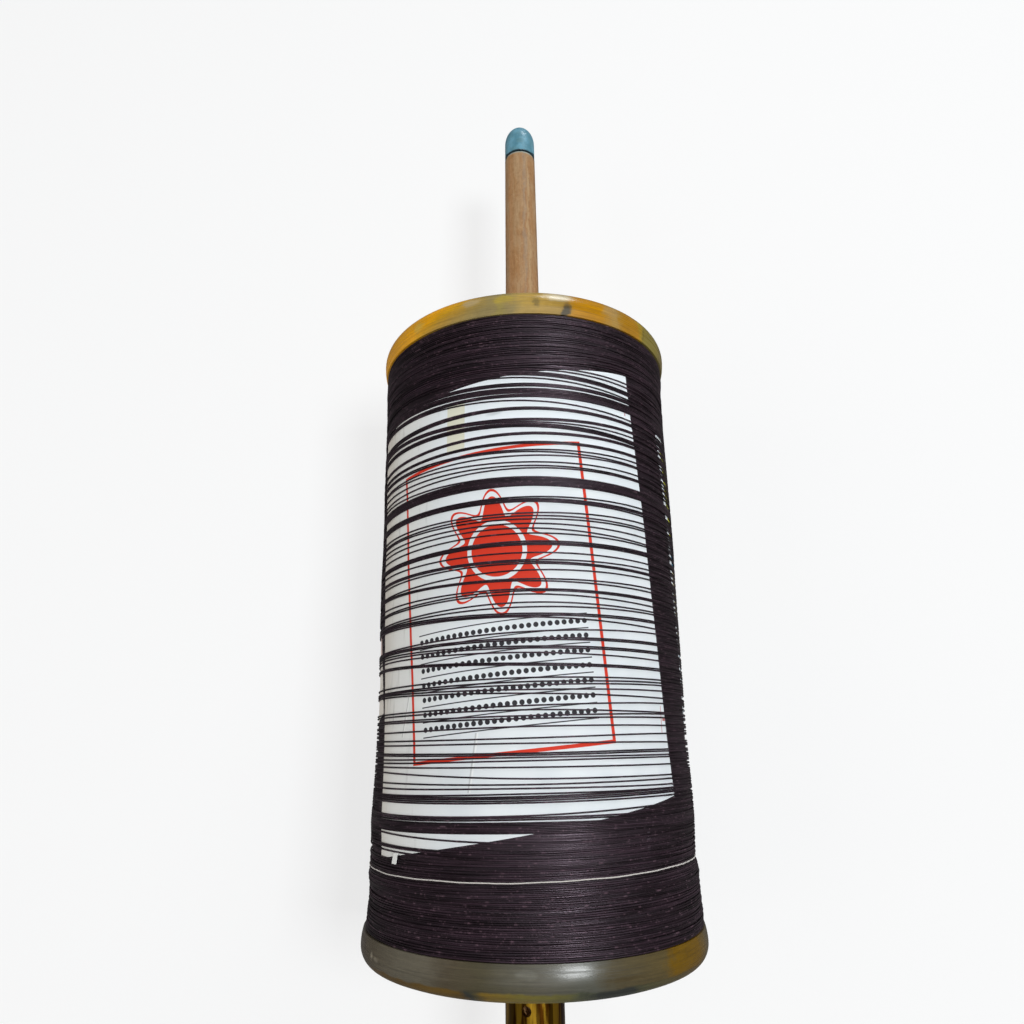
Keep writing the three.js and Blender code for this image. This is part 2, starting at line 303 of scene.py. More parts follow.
def wind_last_turns(finish):
    """The outermost turns, as one thread that winds down the reel, in two pieces."""
    rng = np.random.default_rng(4)
    places, freedom = last_turns(rng)
    turns = len(places)
    knots = (360 * np.arange(turns)[:, None] + STATIONS).ravel()
    angle = np.linspace(-180, 360 * (turns - 1) + 180, turns * COLUMNS + 1)
    freedom = np.interp(angle, 360 * np.arange(turns), freedom)
    wandering = freedom * wander(turns, WANDER_KNOTS, angle, rng)
    along = smooth_through(knots, places.ravel(), angle) + wandering
    sinking = np.clip(0.2 + 0.8 * wander(turns, SINK_KNOTS, angle, rng), 0, 1)
    sunk = LEAST_DEPTH + SINKING * freedom * sinking
    tuck = np.clip(1 - np.minimum(angle - angle[0], angle[-1] - angle) / TUCK_ANGLE, 0, 1)
    radius = wound_radius(along, angle) - sunk - THREAD / 2 - TUCK_DEPTH * tuck**2
    tone = np.repeat(rng.random(turns), COLUMNS)
    tone = np.append(tone, tone[-1])
    half = (turns // 2) * COLUMNS
    parts = {"last_turns_upper": slice(0, half + 1), "last_turns_lower": slice(half, None)}
    for name, part in parts.items():
        piece = tube(name, angle[part], along[part], radius[part], THREAD, shade=tone[part, None])
        dress(piece, finish, "string_dark")


# Turns beside the front label: the piece, its side, the angles at which its turns start below the
# label, come up from under it, lie, go down again and end, how far these angles shift in each
# millimetre along, and stretches of turns as (place of the first, place of the last, least and
# greatest step between turns in diameters).
SIDE_TURNS = (
    ("turns_right_of_label", 1, (38, 51, 60, 152, 165), 0.0,
     ((71, 59, 1.1, 1.9), (58.6, 12, 2.9, 4.3), (11, -37, 1.1, 3.6), (-38, -66, 1.1, 1.9))),
    ("turns_left_of_label", -1, (60, 69.5, 76, 152, 165), -0.108,
     ((60, -2, 1.05, 1.6), (-33.5, -66.5, 1.05, 1.6))),
)
SIDE_STEPS = 49
SIDE_SHIFTS = ((0.3, 3), (0.04, 9))  # deviation of each random shift along the reel, and its knots
# Greatest value of these turns' shade attribute, kept low so that they come out darker: painted shade
# at the reel's sides
SIDE_TONE_FOR_PAINTED_SHADE = 0.25
UNDER_CRESTS = 0.02  # depth of these turns' buried ends, below the crests of the closed turns


def wind_side_turns(name, side, knots, shift, stretches, finish):
    """Turns beside the front label, which pass below it."""
    rng = np.random.default_rng(11)
    sunk = UNDER_TURNS + THREAD / 2 + UNDER_CRESTS
    lying = UNDER_TURNS - PAPER - THREAD / 2
    away = np.linspace(knots[0], knots[-1], SIDE_STEPS)
    depth = np.interp(away, knots, (sunk, sunk, lying, lying, sunk))
    places = []
    for place, last, least, greatest in stretches:
        while place > last:
            places.append(place)
            place -= THREAD * (least + (greatest - least) * rng.random() ** 2)
    places = np.array(places)[:, None]
    along = places
    for deviation, count in SIDE_SHIFTS:
        shifts = rng.normal(0, deviation, (len(places), count))
        along = along + smooth_through(np.linspace(knots[0], knots[-1], count), shifts, away)
    angle = side * away + shift * places
    radius = wound_radius(along, angle) - depth
    # Painted shade: darker turns at the reel's sides
    tone = SIDE_TONE_FOR_PAINTED_SHADE * rng.random((len(places), 1, 1))
    piece = tube(name, angle, along, radius, THREAD, shade=tone)
    dress(piece, finish, "string_dark")


CREST_SINK = 0.12  # how much deeper than the others a crest may lie
CREST_SHARE = 0.45  # of the step between two turns, which a crest takes at each side
GROOVE_DEPTH = 0.13
ROWS_PER_TURN = 3
WIDE_GROOVE = 1.15  # in pitches; past it a groove is deeper by a share of its further width
WIDE_GROOVE_SHARE, WIDE_GROOVE_LIMIT = 0.5, 0.3


def wind_closed_turns(finish):
    """The closed turns below, as a ribbed body in two pieces."""
    rng = np.random.default_rng(7)
    end = FLANGE_INNER - GAP - PITCH / 2
    places = side_by_side(end, -end, rng)
    angles = np.arange(COLUMNS) * 360 / COLUMNS
    centre = round_reel(places, angles)
    sunk = round_reel(CREST_SINK * rng.random(places.shape) ** 3, angles)
    groove = 0.5 * (centre[1:] + centre[:-1])
    width = centre[:-1] - centre[1:]
    crest = wound_radius(centre, angles) - UNDER_TURNS - sunk
    deeper = WIDE_GROOVE_SHARE * np.clip(width - WIDE_GROOVE * PITCH, 0, WIDE_GROOVE_LIMIT)
    low = np.minimum(crest[1:], crest[:-1]) - GROOVE_DEPTH - deeper
    half = len(places) // 2
    tone = np.repeat(rng.random(len(places)), ROWS_PER_TURN)
    parts = {"winding_upper": range(half), "winding_lower": range(half, len(places))}
    for name, turns in parts.items():
        rows = []
        for i in turns:
            above = groove[i - 1] if i else centre[0] + PITCH / 2
            below = groove[i] if i < len(groove) else centre[-1] - PITCH / 2
            depth = low[i] if i < len(low) else low[-1]
            rows.append((centre[i] + CREST_SHARE * (above - centre[i]), crest[i]))
            rows.append((centre[i] - CREST_SHARE * (centre[i] - below), crest[i]))
            rows.append((below, depth))
        first, last = rows[0][0] + PITCH / 4, rows[-1][0]
        bore = np.full(COLUMNS, BORE_RADIUS)
        rows = [(first, bore), (first, crest[turns[0]] - GROOVE_DEPTH)] + rows + [(last, bore)]
        along, radius = (np.stack(part) for part in zip(*rows))
        points = on_reel(angles, along, radius)[::-1]
        u = np.arange(COLUMNS + 1)[None, :] * 2 * np.pi * MEASURING_RADIUS / COLUMNS
        v = np.arange(len(points) + 1)[:, None] / ROWS_PER_TURN
        tones = tone[ROWS_PER_TURN * turns[0]:ROWS_PER_TURN * (turns[-1] + 1)]
        shade = np.concatenate([[0, 0], tones, [0]])[::-1, None]
        piece = grid_piece(name, points, (u, v), shade, closed=(True, True))
        dress(piece, finish, "string_dark", "winding")


WHITE_SIDES = 9
WHITE_PLIES, WHITE_PLY_DEPTH, WHITE_TWISTS = 3, 0.09, 30
WHITE_WAVES = ((0.05, 9, 0), (0.04, 23, 1))  # height along the reel, number in a turn, phase
WHITE_RAISED = 0.04  # over the wound profile


def wind_white_turn(finish):
    """The one turn of white thread."""
    angle = np.arange(2 * COLUMNS) * 180 / COLUMNS
    turn = np.radians(angle)
    around = 2 * np.pi * np.arange(WHITE_SIDES) / WHITE_SIDES
    plies = WHITE_PLY_DEPTH * np.cos(WHITE_PLIES * (around - turn[:, None] * WHITE_TWISTS))
    along = round_reel(WHITE_TURN, angle)
    for height, number, phase in WHITE_WAVES:
        along = along + height * np.sin(turn * number + phase)
    centre = wound_radius(along, angle) - WHITE_THREAD / 2 + WHITE_RAISED
    diameter = WHITE_THREAD * (1 + plies)
    piece = tube("white_turn", angle, along, centre, diameter, WHITE_SIDES, ring=True)
    dress(piece, finish, "string_white")


# Labels
LABEL_STEP = 2.0  # between the points of a paper
# The torn strip at the front label's lower left corner, as (along, left and right edge in degrees,
# height over the outermost turns)
TORN_STRIP = (
    (-65.7, -49.1, -46.9, -0.55), (-66.2, -49.1, -46.9, -0.2), (-66.7, -49.3, -47.0, 0.02),
    (-67.7, -49.7, -47.2, 0.03), (-68.9, -50.0, -47.5, 0.03),
)


def torn_strip():
    """The narrow strip that hangs from the front label's lower edge."""
    along, left, right, height = (np.array(part)[:, None] for part in zip(*TORN_STRIP))
    angle = np.hstack([left, right, right, left])
    over = height + np.array([PAPER, PAPER, 0, 0])
    points = on_reel(angle, along, wound_radius(along, angle) + over)
    round_ = np.radians(np.hstack([angle, left])) * MEASURING_RADIUS
    return grid_piece("strip", points, (round_, along), capped=True, flip=True)


def lay_label(name, finish, torn=False):
    """A thin paper on the closed turns. Its UV map gives the place round and along the reel."""
    corners = np.array(LABEL_CORNERS[name], float)
    lower_left, lower_right, upper_right, upper_left = corners
    width = np.linalg.norm(lower_right - lower_left)
    length = np.linalg.norm(upper_left - lower_left)
    u = np.linspace(0, 1, round(width / LABEL_STEP) + 1)[None, :, None]
    v = np.linspace(0, 1, round(length / LABEL_STEP) + 1)[:, None, None]
    lower = (1 - u) * lower_left + u * lower_right
    upper = (1 - u) * upper_left + u * upper_right
    flat = (1 - v) * lower + v * upper
    # The sheet is one grid that goes round its section: across the face and back underneath.
    both = np.concatenate([flat, flat[:, ::-1]], axis=1)
    columns = flat.shape[1]
    depth = np.where(np.arange(2 * columns) < columns, UNDER_TURNS - PAPER, UNDER_TURNS)
    angle = np.degrees(both[..., 0] / MEASURING_RADIUS)
    points = on_reel(angle, both[..., 1], wound_radius(both[..., 1], angle) - depth)
    uv = np.concatenate([both, both[:, :1]], axis=1)
    piece = grid_piece(name + "_sheet", points, (uv[..., 0], uv[..., 1]), capped=True)
    if torn:
        bpy.ops.object.select_all(action="DESELECT")
        torn_strip().select_set(True)
        piece.select_set(True)
        bpy.context.view_layer.objects.active = piece
        bpy.ops.object.join()
    piece.data.shade_flat()
    dress(piece, finish, "label_paper", name)


# Turned pieces
FLANGE_SIDES, SLEEVE_SIDES, HANDLE_SIDES, DRILL_SIDES = 160, 96, 64, 32
SHARPEST_SMOOTH = math.radians(35)  # edges past this angle stay sharp
MERGING = 1e-6  # metres, within which points are one
RIM_EDGE = 0.35
INNER_RING, OUTER_RING = 0.6, 3  # from a flange's rim to the next ring of points on its faces
BORE_CHAMFER = (1, 0.6)  # across and along
ROD_ROWS = 24
ROD_WAVES = ((0.035, 9, 1), (0.02, 23, 0))  # height of the hand-turned unevenness, number, phase
ROD_EDGE = 0.3
CAP_EDGE = 0.35
CAP_PEAK = 0.2  # radius at which a blue end is closed
SLEEVE_EDGES = (0.4, 0.3)  # inside at the open end, and outside against the flange


def quarter(start, end, leaves_along, steps=10):
    """Points of a quarter ellipse between two (radius, along), without its first point."""
    points = []
    for i in range(1, steps + 1):
        angle = i / steps * math.pi / 2
        slow, fast = 1 - math.cos(angle), math.sin(angle)
        ahead = (slow, fast) if leaves_along else (fast, slow)
        points.append(tuple(a + (b - a) * t for a, b, t in zip(start, end, ahead)))
    return points


def turned(name, profile, sides):
    """A solid turned about the reel's axis: a ring, extruded along a profile of (radius, along).
    The profile closes on itself, or its two ends are filled."""
    bpy.ops.object.select_all(action="DESELECT")
    radius, along = profile[0]
    bpy.ops.mesh.primitive_circle_add(
        vertices=sides, radius=radius * MM, location=(0, along * MM, AXIS_HEIGHT * MM),
        rotation=(math.pi / 2, 0, 0),
    )
    piece = bpy.context.object
    piece.name = name
    bpy.ops.object.transform_apply(location=True, rotation=True, scale=True)
    bpy.ops.object.mode_set(mode="EDIT")
    for (r0, y0), (r1, y1) in zip(profile, profile[1:]):
        bpy.ops.mesh.extrude_region_move(TRANSFORM_OT_translate={"value": (0, (y1 - y0) * MM, 0)})
        centre = (0, y1 * MM, AXIS_HEIGHT * MM)
        bpy.ops.transform.resize(value=(r1 / r0, 1, r1 / r0), center_override=centre)
    bpy.ops.mesh.select_all(action="SELECT")
    bpy.ops.mesh.remove_doubles(threshold=MERGING)
    if profile[0] != profile[-1]:
        bpy.ops.mesh.fill_holes(sides=0)
    bpy.ops.mesh.select_all(action="SELECT")
    bpy.ops.mesh.normals_make_consistent(inside=False)
    bpy.ops.object.mode_set(mode="OBJECT")
    bpy.ops.object.shade_smooth_by_angle(angle=SHARPEST_SMOOTH)
    return piece


def end_for_end(profile):
    """The same profile at the reel's other end."""
    return [(radius, -along) for radius, along in reversed(profile)]


def drill_pin_hole(piece):
    """Drills the small hole through the sleeve and into the rod."""
    bpy.ops.object.select_all(action="DESELECT")
    length = PIN_HOLE_DEPTH + DRILL_OVERRUN
    middle = SLEEVE_RADIUS - PIN_HOLE_DEPTH + length / 2
    x, y, z = on_reel(PIN_HOLE_ANGLE, PIN_HOLE_AT, middle).tolist()
    bpy.ops.mesh.primitive_cylinder_add(
        vertices=DRILL_SIDES, radius=PIN_HOLE_RADIUS * MM, depth=length * MM,
        location=(x * MM, y * MM, (z + AXIS_HEIGHT) * MM),
        rotation=(0, math.radians(PIN_HOLE_ANGLE), 0),
    )
    drill = bpy.context.object
    cut = piece.modifiers.new("pin_hole", "BOOLEAN")
    cut.operation = "DIFFERENCE"
    cut.solver = "EXACT"
    cut.object = drill
    bpy.context.view_layer.objects.active = piece
    bpy.ops.object.modifier_apply(modifier=cut.name)
    bpy.data.objects.remove(drill)
    bpy.ops.object.select_all(action="DESELECT")
    piece.select_set(True)
    bpy.ops.object.shade_smooth_by_angle(angle=SHARPEST_SMOOTH)


def turn_flange(node, lower, finish):
    crown = (FLANGE_RADIUS, FLANGE_INNER + RIM_CROWN)
    swell = FLANGE_RADIUS - RIM_INNER_RADIUS
    profile = [
        (BORE_RADIUS, FLANGE_INNER),
        (RIM_INNER_RADIUS - INNER_RING, FLANGE_INNER),
        (RIM_INNER_RADIUS, FLANGE_INNER),
        *[(FLANGE_RADIUS - swell * (1 - t) ** 2, FLANGE_INNER + RIM_CROWN * t)
          for t in np.linspace(0, 1, 9)[1:].tolist()],
        *quarter(crown, (RIM_OUTER_RADIUS, FLANGE_OUTER - RIM_EDGE), True, 14),
        (RIM_OUTER_RADIUS - RIM_EDGE, FLANGE_OUTER),
        (RIM_OUTER_RADIUS - OUTER_RING, FLANGE_OUTER),
        (BORE_RADIUS + BORE_CHAMFER[0], FLANGE_OUTER),
        (BORE_RADIUS, FLANGE_OUTER - BORE_CHAMFER[1]),
        (BORE_RADIUS, FLANGE_INNER),
    ]
    piece = turned(node + "_turned", end_for_end(profile) if lower else profile, FLANGE_SIDES)
    bpy.ops.object.mode_set(mode="EDIT")
    bpy.ops.mesh.select_all(action="SELECT")
    bpy.ops.mesh.bisect(plane_co=(0, 0, 0), plane_no=(0, 0, -1), threshold=MERGING,
                        use_fill=True, clear_outer=True)
    bpy.ops.object.mode_set(mode="OBJECT")
    dress(piece, finish, "flange_marbled", node)


def turn_rod(finish):
    shoulder = CAP_SHOULDER - CAP_SEAM
    half = []
    for i in range(ROD_ROWS + 1):
        t = i / ROD_ROWS
        uneven = sum(height * math.sin(number * t + phase) for height, number, phase in ROD_WAVES)
        radius = ROD_RADIUS + (HANDLE_END_RADIUS - ROD_RADIUS) * t + uneven * (1 - t)
        half.append((radius, FLANGE_OUTER + (shoulder - ROD_EDGE - FLANGE_OUTER) * t))
    half += [
        (HANDLE_END_RADIUS - ROD_EDGE, shoulder),
        (SPIGOT_RADIUS, shoulder),
        (SPIGOT_RADIUS, SPIGOT_END),
    ]
    piece = turned("rod_turned", end_for_end(half) + half, HANDLE_SIDES)
    drill_pin_hole(piece)
    dress(piece, finish, "rod_wood", "rod")


def turn_cap(name, lower, finish):
    dome = CAP_TOP - CAP_DOME_LENGTH
    bore = SPIGOT_RADIUS + GAP
    tip = quarter((CAP_RADIUS, dome), (0, CAP_TOP), True, 16)
    edge = (CAP_RADIUS - CAP_EDGE, CAP_SHOULDER)
    profile = [
        (bore, SPIGOT_END + GAP),
        (bore, CAP_SHOULDER),
        edge,
        *quarter(edge, (CAP_RADIUS, CAP_SHOULDER + CAP_EDGE), False, 4),
        (CAP_RADIUS, dome),
        *[point for point in tip if point[0] > CAP_PEAK],
    ]
    piece = turned(name, end_for_end(profile) if lower else profile, HANDLE_SIDES)
    dress(piece, finish, "cap_blue", "cap_lower" if lower else "cap_upper")


def turn_sleeve(finish):
    corner = (SLEEVE_RADIUS - SLEEVE_ROUNDING, SLEEVE_END)
    inside, outside = SLEEVE_EDGES
    profile = [
        (BORE_RADIUS, SLEEVE_TOP),
        (BORE_RADIUS, SLEEVE_END + inside),
        (BORE_RADIUS + inside, SLEEVE_END),
        corner,
        *quarter(corner, (SLEEVE_RADIUS, SLEEVE_END + SLEEVE_ROUNDING), False),
        (SLEEVE_RADIUS, SLEEVE_TOP - outside),
        (SLEEVE_RADIUS - outside, SLEEVE_TOP),
        (BORE_RADIUS, SLEEVE_TOP),
    ]
    piece = turned("sleeve_turned", profile, SLEEVE_SIDES)
    drill_pin_hole(piece)
    dress(piece, finish, "sleeve_brass", "sleeve")


# Materials
class Socket:
    """An output socket of a material, on which arithmetic adds Math nodes."""

    def __init__(self, finish, output):
        self.finish = finish
        self.output = output

    def __getitem__(self, name):
        return Socket(self.finish, self.output.node.outputs[name])

    def __add__(self, other):
        return self.finish.math("ADD", self, other)

    def __sub__(self, other):
        return self.finish.math("SUBTRACT", self, other)

    def __rsub__(self, other):
        return self.finish.math("SUBTRACT", other, self)

    def __mul__(self, other):
        return self.finish.math("MULTIPLY", self, other)

    def __truediv__(self, other):
        return self.finish.math("DIVIDE", self, other)

    __radd__ = __add__
    __rmul__ = __mul__


class Finish:
    """A material on one Principled shader. Fixed values go to the shader's own sockets."""

    def __init__(self, name, **fixed):
        self.material = bpy.data.materials.new(name)
        self.material.use_nodes = True
        self.tree = self.material.node_tree
        self.shader = self.tree.nodes["Principled BSDF"]
        for socket, value in fixed.items():
            socket = socket.replace("_", " ").title().replace("Ior", "IOR")
            self.shader.inputs[socket].default_value = value

    def node(self, kind, settings=None, inputs=None):
        made = self.tree.nodes.new("ShaderNode" + kind)
        settings = dict(settings or {})
        if "stops" in settings:
            self._set_stops(made.color_ramp, settings.pop("stops"), settings.pop("constant", False))
        for name, value in settings.items():
            setattr(made, name, value)
        for name, value in (inputs or {}).items():
            if isinstance(value, Socket):
                self.tree.links.new(value.output, made.inputs[name])
            else:
                made.inputs[name].default_value = value
        return Socket(self, next(o for o in made.outputs if o.enabled))

    def _set_stops(self, ramp, stops, constant):
        if constant:
            ramp.interpolation = "CONSTANT"
        while len(ramp.elements) < len(stops):
            ramp.elements.new(1)
        for element, (place, colour) in zip(ramp.elements, stops):
            element.position = place
            element.color = colour

    def math(self, operation, *operands):
        return self.node("Math", {"operation": operation}, dict(enumerate(operands)))

    def clip(self, value):
        return self.node("Math", {"operation": "ADD", "use_clamp": True}, {0: value, 1: 0.0})

    def vector(self, operation, *operands):
        return self.node("VectorMath", {"operation": operation}, dict(enumerate(operands)))

    def joined(self, x, y, z=0.0):
        return self.node("CombineXYZ", inputs={"X": x, "Y": y, "Z": z})

    def mix(self, factor, first, second, blend="MIX"):
        settings = {"data_type": "RGBA", "blend_type": blend}
        return self.node("Mix", settings, {0: factor, 6: first, 7: second})

    def noise(self, place, scale=None, detail=3, roughness=0.55):
        """Noise on a place, which may first be multiplied by a scale for each axis."""
        if scale:
            place = self.vector("MULTIPLY", place, scale)
        inputs = {"Vector": place, "Scale": 1.0, "Detail": detail, "Roughness": roughness}
        return self.node("TexNoise", inputs=inputs)

    def step(self, value, low, high):
        """0 below low, 1 above high and smooth between."""
        settings = {"interpolation_type": "SMOOTHSTEP"}
        return self.node("MapRange", settings, {"Value": value, 1: low, 2: high, 3: 0.0, 4: 1.0})

    def washed(self, colour, *washes):
        """A colour with tones laid over it. Each wash is a pattern, its values at which the wash
        starts and is full, the strength and the tone."""
        for pattern, start, full, strength, tone in washes:
            colour = self.mix(self.step(pattern, start, full) * strength, colour, tone)
        return colour

    def near(self, value, centre, half_width, inner=0.5):
        """1 near the centre of a band and 0 outside it. inner is where the 1 ends, in parts of
        its half width."""
        return self.step(self.math("ABSOLUTE", value - centre), half_width, half_width * inner)

    def bump(self, height, strength, distance):
        inputs = {"Height": height, "Strength": strength, "Distance": distance * MM}
        return self.node("Bump", inputs=inputs)

    def on_piece(self):
        """Place on the object, in millimetres from the middle of the reel's axis."""
        here = self.node("TexCoord")["Object"]
        centred = self.vector("SUBTRACT", here, (0, 0, AXIS_HEIGHT * MM))
        return self.vector("MULTIPLY", centred, (1 / MM,) * 3)

    def round_place(self):
        """Place on the object, and its angle in degrees, place along the reel and radius."""
        here = self.on_piece()
        apart = self.node("SeparateXYZ", inputs={0: here})
        angle = self.math("ARCTAN2", apart["X"], apart["Z"]) * math.degrees(1)
        across = self.vector("MULTIPLY", here, (1, 0, 1))
        return here, angle, apart["Y"], self.vector("LENGTH", across)["Value"]

    def completed(self, colour, roughness=None, normal=None):
        """The material, with these joined to its shader."""
        for name, value in (("Base Color", colour), ("Roughness", roughness), ("Normal", normal)):
            if value is not None:
                self.tree.links.new(value.output, self.shader.inputs[name])
        return self.material


BRIGHT_AMBER = srgb(228, 160, 2)
AMBER = srgb(186, 129, 8)
DEEP_AMBER = srgb(166, 117, 14)
HONEY = srgb(178, 148, 78)
HORN = srgb(148, 130, 82)
OLIVE = srgb(128, 114, 48)
MOSS = srgb(116, 102, 58)
SMOKE = srgb(52, 54, 50)
SHADE = srgb(80, 71, 55)
GREY_SHADE = srgb(100, 94, 80)
AMBER_SHADE = srgb(108, 79, 2)
BROWN_SHADE = srgb(92, 71, 34)

# Tones round each rim, as (angle, tone)
UPPER_MARBLING = (
    (-180, HORN), (-150, AMBER), (-120, HONEY), (-100, AMBER), (-80, BRIGHT_AMBER),
    (-50, BRIGHT_AMBER), (-42, srgb(200, 150, 30)), (-33, srgb(178, 140, 58)),
    (-25, srgb(160, 134, 72)), (-17, HORN), (-11, HORN), (-9, srgb(160, 142, 74)), (-6, HORN),
    (0, HONEY), (8, srgb(176, 142, 66)), (14, srgb(160, 128, 56)), (19, AMBER), (30, AMBER),
    (36, srgb(170, 136, 70)), (40, DEEP_AMBER), (47, DEEP_AMBER), (49, srgb(158, 128, 26)),
    (54, OLIVE), (64, OLIVE), (72, MOSS), (95, OLIVE), (120, AMBER), (150, HONEY), (180, HORN),
)
LOWER_MARBLING = (
    (-180, SHADE), (-140, AMBER_SHADE), (-110, SHADE), (-72, srgb(73, 64, 53)), (-62, SHADE),
    (-42, GREY_SHADE), (-34, GREY_SHADE), (-24, SHADE), (-15, srgb(77, 71, 53)),
    (-5, srgb(84, 80, 66)), (1, srgb(90, 86, 74)), (15, srgb(86, 86, 77)), (22, srgb(82, 74, 55)),
    (40, srgb(88, 75, 44)), (45, AMBER_SHADE), (59, AMBER_SHADE), (68, srgb(92, 77, 46)),
    (80, SHADE), (110, GREY_SHADE), (140, AMBER_SHADE), (180, SHADE),
)
LOWER_EDGE_MARBLING = (
    (-180, BROWN_SHADE), (-110, OLIVE), (-66, SHADE), (-56, BROWN_SHADE), (-24, srgb(100, 76, 28)),
    (-21, BROWN_SHADE), (-18.5, SMOKE), (-16, srgb(62, 60, 46)), (-13, srgb(118, 94, 36)),
    (0, srgb(110, 102, 50)), (8, srgb(98, 94, 54)), (13, srgb(84, 86, 65)), (17, SMOKE),
    (28, SMOKE), (32, srgb(80, 78, 53)), (60, BROWN_SHADE), (100, OLIVE), (140, BROWN_SHADE),
    (180, BROWN_SHADE),
)
# Blots and painted highlights, as (angle, half its width in degrees, distance from the inner face,
# half its length, tone, strength)
UPPER_BLOTS_AND_HIGHLIGHTS = (
    # The blots at -42 and 12.5 degrees are painted highlights.
    (-42, 2.2, 3.4, 1.6, srgb(212, 172, 66), 0.8), (15.8, 1.4, 1.0, 3.0, srgb(62, 62, 52), 0.9),
    (5, 1.1, 3.6, 1.7, srgb(120, 104, 62), 0.7), (-19, 3, 5.4, 1.3, srgb(178, 162, 128), 0.6),
    (-6.5, 3.4, 5.0, 1.3, srgb(190, 162, 44), 0.4), (34, 3, 4.6, 2.4, srgb(168, 138, 88), 0.6),
    (52, 0.7, 2.5, 3.0, srgb(84, 82, 40), 0.5), (12.5, 5, 6.1, 1.5, srgb(228, 218, 190), 0.7),
)
LOWER_BLOTS_AND_REFLECTION = (
    (-59, 1.0, 3.6, 0.9, srgb(150, 142, 124), 0.7), (-55.5, 0.9, 4.0, 0.6, srgb(140, 132, 114), 0.6),
    (-66, 1.2, 2.0, 0.9, srgb(58, 50, 40), 0.6), (26, 6, 4.3, 0.5, srgb(70, 58, 36), 0.6),
    # The blot at -2 degrees is a painted soft reflection.
    (-2, 2, 2.0, 1.0, srgb(118, 116, 106), 0.4),
)
RIM_TO_FACE = (47.0, 39.0)  # radii between which the patches of the rim become the face's swirl
FACE_SWIRL = 700  # degrees of the table of tones, for a change of 1 in the noise
RAGGED = (12, 7, 1.5)  # degrees for patches, degrees for blots and millimetres outward
EDGE_STARTS, EDGE_FULL = 5.9, 6.6  # distances from the inner face
# How much streaks, cloud and mottle darken and lighten the plastic, and their strengths
CLOUDING = ((0.42, 1.9, 0.5), (0.45, 1.6, 0.26), (0.6, 1.4, 0.25))


def marbled(name, tones, blots_and_painted_light, lean, matt, edge_tones=None):
    """Marbled plastic. Its tones are patches round the rim, which lean by some degrees in each
    millimetre at its left side and swirl on its end face, and spots laid over them, some of which
    are painted highlights and reflections. It may be more matt near the string."""
    f = Finish(name, specular_ior_level=0.4)
    here, angle, along, radius = f.round_place()
    outward = f.math("ABSOLUTE", along) - FLANGE_INNER
    ragged = f.noise(here, (0.25, 0.3, 0.25), detail=4, roughness=0.6) - 0.5
    ragged_turn, ragged_blot, ragged_out = RAGGED
    turn = angle + ragged * ragged_turn - f.step(angle, -4.0, -26.0) * outward * lean
    swirl = f.noise(here, (0.045, 0.3, 0.06), roughness=0.6)
    turn = turn + f.step(radius, *RIM_TO_FACE) * ((swirl - 0.5) * FACE_SWIRL - turn)

    def patches(table):
        stops = [((degrees + 180) / 360, tone) for degrees, tone in table]
        return f.node("ValToRGB", {"stops": stops}, {"Fac": f.math("FRACT", (turn + 180) / 360)})

    colour = patches(tones)
    if edge_tones:
        edge = f.step(outward + ragged * ragged_out, EDGE_STARTS, EDGE_FULL)
        colour = f.mix(edge, colour, patches(edge_tones))
    # Spots of the plastic, and painted highlights and reflections, laid over the patches
    for centre, half_width, distance, half_length, tone, strength in blots_and_painted_light:
        across = (angle + ragged * ragged_blot - centre) / half_width
        out = (outward + ragged * ragged_out - distance) / half_length
        spread = f.math("SQRT", across * across + out * out)
        colour = f.mix(f.step(spread, 1.5, 0.4) * strength, colour, tone)
    rim_place = f.joined(angle, along, radius)
    streaks = f.noise(rim_place, (0.05, 2.2, 2.2), roughness=0.6)
    cloud = f.noise(rim_place, (0.08, 0.5, 0.5), detail=4, roughness=0.6)
    mottle = f.noise(here, (0.6, 0.6, 0.6), detail=4, roughness=0.65)
    for pattern, (dark, light, strength) in zip((streaks, cloud, mottle), CLOUDING):
        for start, full, tone, share in ((0.5, 0.74, dark, 1), (0.48, 0.3, light, 0.5)):
            clouded = f.step(pattern, start, full) * (strength * share)
            colour = f.mix(clouded, colour, (tone, tone, tone, 1), "MULTIPLY")
    roughness = 0.19 + f.step(streaks, 0.3, 0.8) * 0.2 + f.step(outward, 2.8, 1.2) * matt
    return f.completed(colour, roughness, f.bump(streaks, 0.15, 0.05))


# Lines down the rod, as (angle, half its width in degrees, tone, strength): those at -80 and 78
# degrees are painted shade down its sides, the others streaks of paler and greyer tone
ROD_STREAKS_AND_SIDE_SHADE = (
    (-80, 13, srgb(112, 76, 40), 0.6), (-42, 16, srgb(184, 132, 84), 0.55),
    (16, 8, srgb(150, 134, 114), 0.55), (31, 6, srgb(192, 164, 122), 0.5),
    (78, 12, srgb(120, 92, 64), 0.55),
)
STREAK_CORE = 0.3  # where a line is darkest, in parts of its half width
# Painted shade in the seam between a blue end and the wood
SEAM_PAINTED_SHADE = srgb(20, 40, 46)
BLUE_SMEAR = srgb(150, 178, 176)
SMEAR_STARTS, SMEAR_FULL = CAP_SHOULDER - 0.9, CAP_SHOULDER - 0.2
# Dark bands of painted reflection along the brass, as (angle, half its width in degrees)
BRASS_REFLECTION_BANDS = ((-50, 14), (6, 7), (31, 5), (66, 12))


def past_seam(f, along, angle, into_cap):
    """Painted shade in the seam of a blue end: a dark line round it, wider towards the sides, as 0 to
    1, on its side of the seam (into_cap 1) or on the wood's (-1)."""
    edge = CAP_SHOULDER if into_cap > 0 else CAP_SHOULDER - CAP_SEAM
    from_seam = (f.math("ABSOLUTE", along) - edge) * into_cap
    uneven = f.noise(f.joined(angle * 0.03, 0.0), detail=2)
    side = f.step(f.math("ABSOLUTE", angle), 45.0, 78.0)
    return f.step(from_seam - 0.2 - uneven * 0.4 - side * 1.1, 0.15, -0.15)


